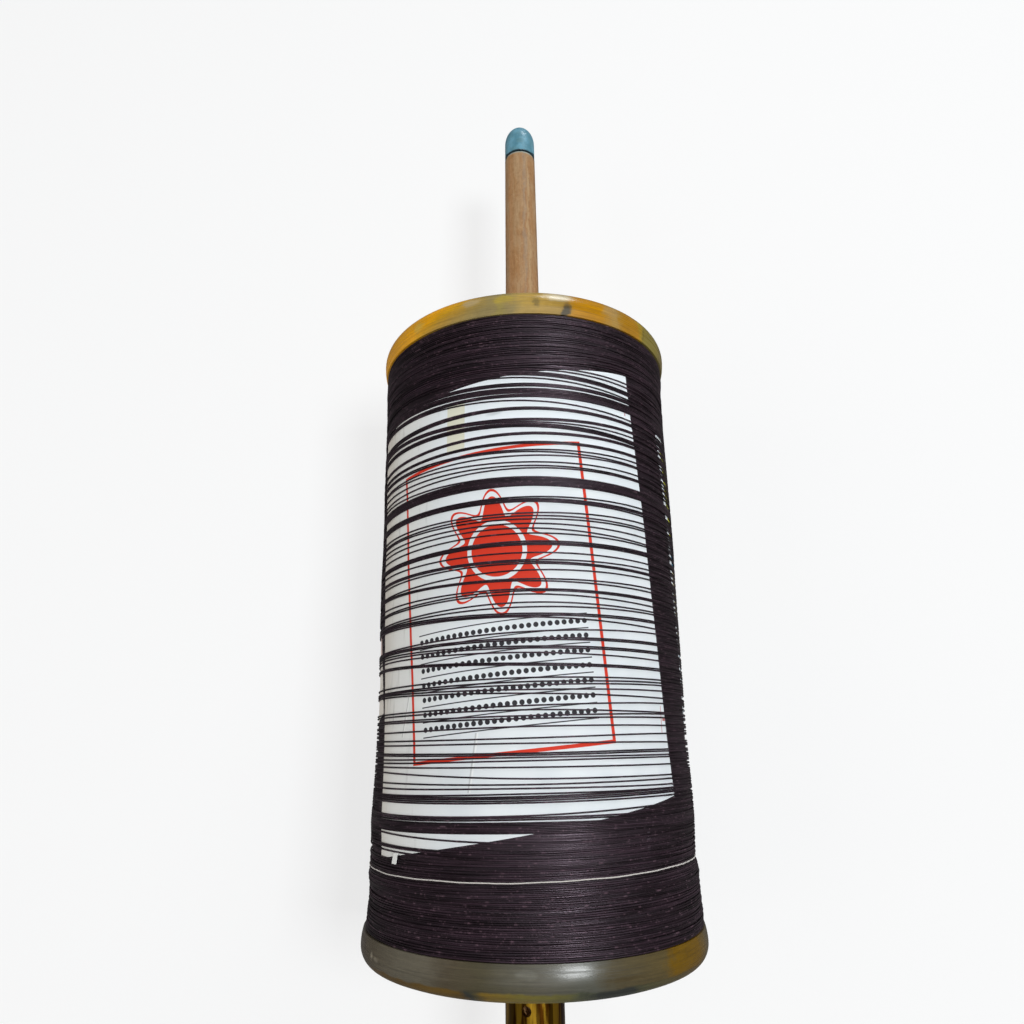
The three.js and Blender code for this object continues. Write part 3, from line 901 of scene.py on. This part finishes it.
def rod_wood():
    f = Finish("rod_wood", roughness=0.6, specular_ior_level=0.35)
    here, angle, along, _ = f.round_place()
    grain = f.noise(here, (2.4, 0.12, 2.4), detail=5, roughness=0.7)
    blotch = f.noise(here, (0.3, 0.08, 0.3))
    mottle = f.noise(here, (0.9, 0.55, 0.9), detail=4, roughness=0.65)
    pores = f.noise(here, (4.0, 0.9, 4.0), detail=2)
    colour = f.mix(f.step(blotch, 0.35, 0.65), srgb(172, 138, 100), srgb(164, 120, 76))
    wavering = angle + (blotch - 0.5) * 40 + (mottle - 0.5) * 16
    # Painted shade down the rod's sides, and streaks of paler and greyer tone
    for centre, half_width, tone, strength in ROD_STREAKS_AND_SIDE_SHADE:
        line = f.near(wavering, centre, half_width, STREAK_CORE)
        colour = f.mix(line * strength * f.step(mottle, 0.2, 0.6), colour, tone)
    to_end = f.math("ABSOLUTE", along) + mottle * 1.6
    colour = f.washed(
        colour,
        (mottle, 0.5, 0.7, 0.35, srgb(132, 94, 58)), (mottle, 0.48, 0.3, 0.3, srgb(196, 166, 126)),
        (grain, 0.46, 0.7, 0.32, srgb(124, 90, 58)), (grain, 0.5, 0.3, 0.22, srgb(198, 172, 136)),
        (pores, 0.6, 0.72, 0.4, srgb(104, 76, 50)),
        (to_end, SMEAR_STARTS, SMEAR_FULL, 0.6, BLUE_SMEAR),
    )
    # Painted shade in the seam, on the wood's side
    colour = f.mix(past_seam(f, along, angle, -1) * 0.85, colour, SEAM_PAINTED_SHADE)
    return f.completed(colour, normal=f.bump(grain + pores * 0.5 + mottle * 0.5, 0.3, 0.12))


def cap_paint():
    f = Finish("cap_paint", coat_weight=0.1)
    here, angle, along, _ = f.round_place()
    wash = f.noise(here, (0.4, 0.3, 0.4), detail=4)
    worn = f.noise(here, (0.25, 0.5, 0.25))
    scuff = f.noise(here, (0.8, 2.2, 1.4), detail=5, roughness=0.75)
    colour = f.mix(f.step(wash, 0.35, 0.65), srgb(86, 138, 156), srgb(108, 163, 184))
    colour = f.washed(
        colour,
        (worn, 0.52, 0.7, 0.5, srgb(104, 140, 142)), (scuff, 0.58, 0.72, 0.65, srgb(148, 190, 200)),
        (scuff, 0.44, 0.32, 0.4, srgb(52, 98, 114)),
    )
    # Painted shade in the seam, on the blue end's side
    colour = f.mix(past_seam(f, along, angle, 1) * 0.92, colour, SEAM_PAINTED_SHADE)
    return f.completed(colour, 0.36 + f.step(scuff, 0.4, 0.7) * 0.2, f.bump(scuff, 0.25, 0.12))


def sleeve_brass():
    f = Finish("sleeve_brass", metallic=1.0)
    here, angle, along, radius = f.round_place()
    tarnish = f.noise(f.joined(angle * 0.09, along * 0.05, radius))
    spots = f.noise(here, (0.9, 0.9, 0.9), detail=5, roughness=0.7)
    colour = f.mix(f.step(tarnish, 0.42, 0.62), srgb(206, 160, 48), srgb(96, 56, 12))
    wavering = angle + (tarnish - 0.5) * 8
    # Painted reflection: dark bands down the shiny brass, at fixed angles
    for centre, half_width in BRASS_REFLECTION_BANDS:
        colour = f.mix(f.near(wavering, centre, half_width) * 0.8, colour, srgb(58, 30, 8))
    colour = f.washed(colour, (spots, 0.6, 0.75, 0.5, srgb(70, 42, 16)))
    return f.completed(colour, 0.2 + spots * 0.2)


STREAK_SHARE = 0.65  # of the lightness, which streaks give; broad bands give the rest
DIMMEST, TONE_GAIN = 0.35, 1.1  # lightness of the darkest turn, and what its shade adds
TWIST = 0.8  # plies in each millimetre


def thread_finish(name, low, high, glint, smooth, matt, **fixed):
    """Twisted thread. Its UV map runs along it and round it, and its shade differs from turn to
    turn."""
    f = Finish(name, **fixed)
    strand = f.node("SeparateXYZ", inputs={0: f.node("UVMap", {"uv_map": "strand"})})
    tone = f.node("Attribute", {"attribute_name": "shade"})["Fac"]

    def along_thread(scale, turn_to_turn, **settings):
        """Noise along the thread, which is another on every turn."""
        return f.noise(f.joined(strand["X"] * scale, tone * turn_to_turn), **settings)

    broad = f.noise(f.on_piece(), (0.05, 0.6, 0.05), detail=2)
    streaks = along_thread(0.06, 57.0, detail=2)
    specks = along_thread(0.4, 91.0, roughness=0.75)
    glaze = along_thread(0.05, 31.0, detail=1)
    loose = along_thread(0.3, 23.0, detail=1)
    light = f.step(broad, 0.35, 0.65) * (1 - STREAK_SHARE)
    light = light + f.step(streaks, 0.38, 0.62) * STREAK_SHARE
    colour = f.mix(f.clip(light * (DIMMEST + tone * TONE_GAIN)), low, high)
    colour = f.washed(colour, (specks, 0.55, 0.7, 0.6, glint))
    roughness = matt - f.step(glaze, 0.36, 0.64) * (matt - smooth)
    turns = strand["X"] * TWIST + loose * 3.0 + strand["Y"] * 2.0 + tone * 7.0
    ply = f.math("SINE", turns * (2 * math.pi))
    return f.completed(colour, roughness, f.bump(ply, 0.16, 0.04))


INK_EDGE = 0.06  # half the width in which printed ink fades out


class Print:
    """Shapes printed on a label, from the place round and along the reel."""

    def __init__(self, f, x, y):
        self.f, self.x, self.y = f, x, y

    def turned(self, centre, degrees):
        """The same print about another centre and at an angle."""
        cosine, sine = math.cos(math.radians(degrees)), math.sin(math.radians(degrees))
        x, y = self.x - centre[0], self.y - centre[1]
        return Print(self.f, x * cosine + y * sine, y * cosine - x * sine)

    def inside(self, value, limit):
        return self.f.step(value, limit + INK_EDGE, limit - INK_EDGE)

    def line(self, value, half_width):
        return self.inside(self.f.math("ABSOLUTE", value), half_width)

    def box_edge(self, half_width, half_height):
        """How far a point lies outside a box."""
        x = self.f.math("ABSOLUTE", self.x) - half_width
        y = self.f.math("ABSOLUTE", self.y) - half_height
        return self.f.math("MAXIMUM", x, y)

    def box(self, low, high):
        """1 in a box between two corners."""
        middle = [(a + b) / 2 for a, b in zip(low, high)]
        half = [(b - a) / 2 for a, b in zip(low, high)]
        return self.inside(self.turned(middle, 0).box_edge(*half), 0)

    def repeated(self, value, pitch):
        """Distance from the middle of each of a row of places."""
        return (self.f.math("FRACT", value / pitch) - 0.5) * pitch

    def distance(self, x, y):
        return self.f.math("SQRT", x * x + y * y)


def label_paper(name, prints, left_shade_tint):
    """White paper with a print, both in the place round and along the reel, with painted light
    towards the upper flange and painted shade towards the reel's left side and in the creases there.
    """
    f = Finish(name, roughness=0.72, specular_ior_level=0.3)
    sheet = f.node("SeparateXYZ", inputs={0: f.node("UVMap", {"uv_map": "strand"})})
    round_, along = sheet["X"], sheet["Y"]
    fibre = f.noise(f.joined(round_ * 0.5, along * 0.5), detail=5, roughness=0.6)
    wave = f.noise(f.joined(round_ * 0.06, along * 0.04), detail=2)
    crease = f.noise(f.joined(round_ * 0.45, along * 0.06), roughness=0.6)
    left = f.step(round_, -20.0, -46.0)
    colour = f.mix(f.step(wave, 0.3, 0.7), srgb(235, 239, 241), srgb(226, 231, 234))
    # Painted light: lighter and bluer towards the upper flange. Painted shade: less blue, then warmer
    # and greyer towards the reel's left side, and grey in the creases there.
    colour = f.washed(
        colour,
        (along, 20.0, 58.0, 0.7, srgb(240, 246, 250)), (round_, -20.0, -46.0, 1, srgb(236, 236, 232)),
        (round_, -44.0, -58.0, 0.8, left_shade_tint), (crease, 0.56, 0.7, left * 0.25, srgb(150, 146, 140)),
    )
    colour = prints(Print(f, round_, along), colour)
    return f.completed(colour, normal=f.bump(fibre * 0.2 + crease * (0.2 + left), 0.35, 0.25))


PRINT_RED = srgb(218, 56, 34)
PRINT_GREY = srgb(52, 50, 54)
TAPE = srgb(226, 222, 192)
INK_RED = srgb(190, 40, 40)
PRINT_CENTRE = (-9.7, 1.5)
PRINT_TILT = 5.1
PRINT_HALF = (29.9, 42.4)
FRAME_LINE = 0.5
ROSETTE_AT = (2.0, 12.0)
PETALS, PETAL_RADIUS, PETAL_REACH = 8, 13.2, 3.0
RING_RADIUS, RING_LINE = 8.2, 0.65
OUTLINE_AT, OUTLINE = 1.9, 0.4  # round the petals
BEAD_STEP, BEAD_ROW_STEP, BEAD_RADIUS, BEAD_RULE = 2.0, 4.0, 0.72, 0.16
BEADS = ((-26.0, -36.4), (26.0, -7.6))  # corners of the block of beads
# Folds in the paper, as (middle, direction in degrees, half its length)
FOLDS = (((-40.6, -30.5), 75, 6.0), ((-16.0, -43.0), 82, 7.5))
FOLD_SHADE, FOLD_LIGHT = srgb(140, 138, 134), srgb(250, 250, 248)
SMUDGE_AT, SMUDGE_TILT, SMUDGE_LENGTH, SMUDGE_SLENDER = (-9.0, 56.0), 12, 3.6, 3.0
SMUDGE_SHADE = srgb(120, 124, 128)
TAPE_CORNERS = ((-25.0, 45.2), (-18.8, 60.8))
# Short marks of red ink, as (lower left, upper right, strength)
TICKS = (
    ((43.0, -36.0), (43.25, -28.6), 1), ((43.8, -32.7), (45.2, -31.9), 1),
    ((34.3, 58.9), (34.9, 60.2), 0.6),
)


def front_print(label, colour):
    """A ruled frame with a rosette and rows of beads in it."""
    f = label.f
    panel = label.turned(PRINT_CENTRE, PRINT_TILT)
    frame_line = panel.line(panel.box_edge(*PRINT_HALF), FRAME_LINE)
    flower = panel.turned(ROSETTE_AT, 0)
    out = flower.distance(flower.x, flower.y)
    direction = f.math("ARCTAN2", flower.y, flower.x)
    petals = out - (PETAL_RADIUS + f.math("COSINE", direction * PETALS) * PETAL_REACH)
    rosette = panel.inside(petals, 0) * (1 - panel.line(out - RING_RADIUS, RING_LINE))
    red = f.clip(frame_line + rosette + panel.line(petals - OUTLINE_AT, OUTLINE))
    beads = panel.distance(panel.repeated(panel.x, BEAD_STEP), panel.repeated(panel.y, BEAD_ROW_STEP))
    rules = panel.line(panel.repeated(panel.y + BEAD_ROW_STEP / 2, BEAD_ROW_STEP), BEAD_RULE)
    grey = f.clip(panel.inside(beads, BEAD_RADIUS) + rules) * panel.box(*BEADS)
    for middle, degrees, half_length in FOLDS:
        fold = label.turned(middle, degrees)
        inside = fold.line(fold.x, half_length)
        colour = f.mix(fold.line(fold.y, 0.22) * inside * 0.35, colour, FOLD_SHADE)
        colour = f.mix(fold.line(fold.y + 0.5, 0.25) * inside * 0.5, colour, FOLD_LIGHT)
    smudge = label.turned(SMUDGE_AT, SMUDGE_TILT)
    spread = smudge.distance(smudge.x, smudge.y * SMUDGE_SLENDER)
    colour = f.washed(colour, (spread, SMUDGE_LENGTH, 1.0, 0.3, SMUDGE_SHADE))
    ticks = sum(label.box(low, high) * strength for low, high, strength in TICKS)
    for ink, tone in (
        (label.box(*TAPE_CORNERS) * 0.75, TAPE), (grey, PRINT_GREY), (red, PRINT_RED),
        (f.clip(ticks) * 0.8, INK_RED),
    ):
        colour = f.mix(ink, colour, tone)
    return colour


BANDS_CORNER, BANDS_TILT, BANDS_BORDER = (54.0, 58.5), 7.7, 2.35
BANDS_TOP = 80
BAND_RULES, BAND_RULE = 3.1, 0.5  # step and half width
PINK_CORNER, PINK_TILT, PINK_FROM = (-64.0, -5.0), 16, -6.4
BAND_PRINT = (  # place along the reel where each colour starts
    (-60, srgb(140, 190, 220)), (-12, srgb(226, 218, 170)), (16, srgb(24, 84, 110)),
    (25, srgb(176, 176, 40)), (54, srgb(222, 228, 224)),
)


def banded_print(label, colour):
    """Bands of colour inside a white border, with narrow dark rules across."""
    f = label.f
    low = BAND_PRINT[0][0]
    length = BANDS_TOP - low
    stops = [((place - low) / length, tone) for place, tone in BAND_PRINT]
    tilted = label.turned(BANDS_CORNER, BANDS_TILT)
    bands = f.node("ValToRGB", {"stops": stops, "constant": True}, {"Fac": (label.y - low) / length})
    rules = tilted.line(tilted.repeated(tilted.y, BAND_RULES), BAND_RULE)
    bands = f.mix(rules * 0.6, bands, PRINT_GREY)
    return f.mix(f.step(tilted.x, BANDS_BORDER - 0.15, BANDS_BORDER + 0.15), colour, bands)


def pink_top_print(label, colour):
    """A pinkish band at the upper edge."""
    f = label.f
    tilted = label.turned(PINK_CORNER, PINK_TILT)
    return f.washed(colour, (tilted.y, PINK_FROM - 0.2, PINK_FROM + 0.2, 0.5, srgb(196, 150, 150)))


# Stage
CAMERA_AT = (0, -38.583, 250.469)  # from the middle of the reel's axis
CAMERA_PITCH, CAMERA_ROLL, CAMERA_YAW = 0.3036, -0.0189, 0.0247
FOCAL_PIXELS = 741.29
FRAME_PIXELS = 1024
SENSOR = 36
FLOOR_SIZE, BACKDROP_RADIUS = 60, 20  # metres
FLOOR_TONE, FLOOR_GLOW, BACKDROP_GLOW = 0.25, 0.72, 0.76
SKY = (1, 0.98, 0.97, 1)
SKY_STRENGTH = 0.12
# Name, direction from the reel, distance and size in metres, power, colour, and whether the light
# shows in glossy surfaces
LIGHTS = (
    ("key", (0.41, 0.0, 0.912), 1.2, 0.33, 8.5, (0.94, 0.98, 1), True),
    ("overhead", (0.0, 0.0, 1.0), 1.6, 1.4, 4.6, (0.95, 0.98, 1), True),
    ("fill", (-0.8, -0.1, 0.55), 1.4, 0.9, 4.2, (1, 0.97, 0.93), False),
    ("back", (0.3, 0.88, 0.375), 1.5, 0.42, 5.4, (0.95, 0.98, 1), True),
)


def set_camera():
    camera = bpy.data.cameras.new("camera")
    camera.sensor_width = SENSOR
    camera.lens = FOCAL_PIXELS / FRAME_PIXELS * SENSOR
    camera.clip_start = 0.01
    placed = bpy.data.objects.new("camera", camera)
    turn = Matrix.Rotation(CAMERA_ROLL, 4, "Z") @ Matrix.Rotation(CAMERA_PITCH, 4, "X")
    turn = turn @ Matrix.Rotation(CAMERA_YAW, 4, "Y")
    place = (Vector(CAMERA_AT) + Vector((0, 0, AXIS_HEIGHT))) * MM
    placed.matrix_world = Matrix.Translation(place) @ turn
    bpy.context.scene.collection.objects.link(placed)
    bpy.context.scene.camera = placed


def area_light(name, direction, distance, size, power, colour, glossy):
    light = bpy.data.lights.new(name, "AREA")
    light.size = size
    light.energy = power
    light.color = colour
    lamp = bpy.data.objects.new(name, light)
    away = Vector(direction).normalized()
    lamp.location = away * distance + Vector((0, 0, AXIS_HEIGHT * MM))
    lamp.rotation_euler = away.to_track_quat("Z", "Y").to_euler()
    lamp.visible_glossy = glossy
    bpy.context.scene.collection.objects.link(lamp)


def set_stage():
    bpy.ops.mesh.primitive_plane_add(size=FLOOR_SIZE)
    floor = bpy.context.object
    floor.name = "floor"
    bpy.ops.mesh.primitive_uv_sphere_add(segments=48, ring_count=24, radius=BACKDROP_RADIUS)
    backdrop = bpy.context.object
    backdrop.name = "backdrop"
    for piece, tone, glow in ((floor, FLOOR_TONE, FLOOR_GLOW), (backdrop, 0, BACKDROP_GLOW)):
        f = Finish(piece.name + "_white", roughness=0.9, specular_ior_level=0)
        f.shader.inputs["Base Color"].default_value = (tone, tone, tone, 1)
        f.shader.inputs["Emission Color"].default_value = (1, 1, 1, 1)
        f.shader.inputs["Emission Strength"].default_value = glow
        piece.data.materials.append(f.material)
        piece.visible_glossy = False
    backdrop.visible_diffuse = backdrop.visible_shadow = False
    world = bpy.data.worlds.new("studio")
    world.use_nodes = True
    sky = world.node_tree.nodes["Background"]
    sky.inputs["Color"].default_value = SKY
    sky.inputs["Strength"].default_value = SKY_STRENGTH
    bpy.context.scene.world = world
    for light in LIGHTS:
        area_light(*light)
    bpy.context.scene.view_settings.view_transform = "Standard"


DARK = srgb(13, 8, 10)
PURPLE = srgb(47, 33, 41)
GLINT = srgb(106, 82, 92)
SHEEN = (1, 0.8, 0.94, 1)
CREAM = srgb(204, 198, 192)
CREAM_GLINT = srgb(225, 218, 208)

dark_thread = thread_finish(
    "string_dark", DARK, PURPLE, GLINT, 0.34, 0.6, specular_ior_level=0.6, specular_tint=SHEEN,
)
white_thread = thread_finish("string_white", CREAM, CREAM, CREAM_GLINT, 0.6, 0.7)
wind_closed_turns(dark_thread)
wind_last_turns(dark_thread)
for side_turns in SIDE_TURNS:
    wind_side_turns(*side_turns, dark_thread)
wind_white_turn(white_thread)
lay_label("label_front", label_paper("paper_front", front_print, srgb(216, 208, 196)), torn=True)
lay_label("label_right", label_paper("paper_right", banded_print, srgb(235, 235, 230)))
lay_label("label_left", label_paper("paper_left", pink_top_print, srgb(226, 218, 206)))
turn_flange("flange_upper", False, marbled("marbled_upper", UPPER_MARBLING, UPPER_BLOTS_AND_HIGHLIGHTS, 3.2, 0.3))
lower_marbling = marbled("marbled_lower", LOWER_MARBLING, LOWER_BLOTS_AND_REFLECTION, 0, 0, LOWER_EDGE_MARBLING)
turn_flange("flange_lower", True, lower_marbling)
turn_rod(rod_wood())
paint = cap_paint()
turn_cap("cap_upper_turned", False, paint)
turn_cap("cap_lower_turned", True, paint)
turn_sleeve(sleeve_brass())
set_stage()
set_camera()
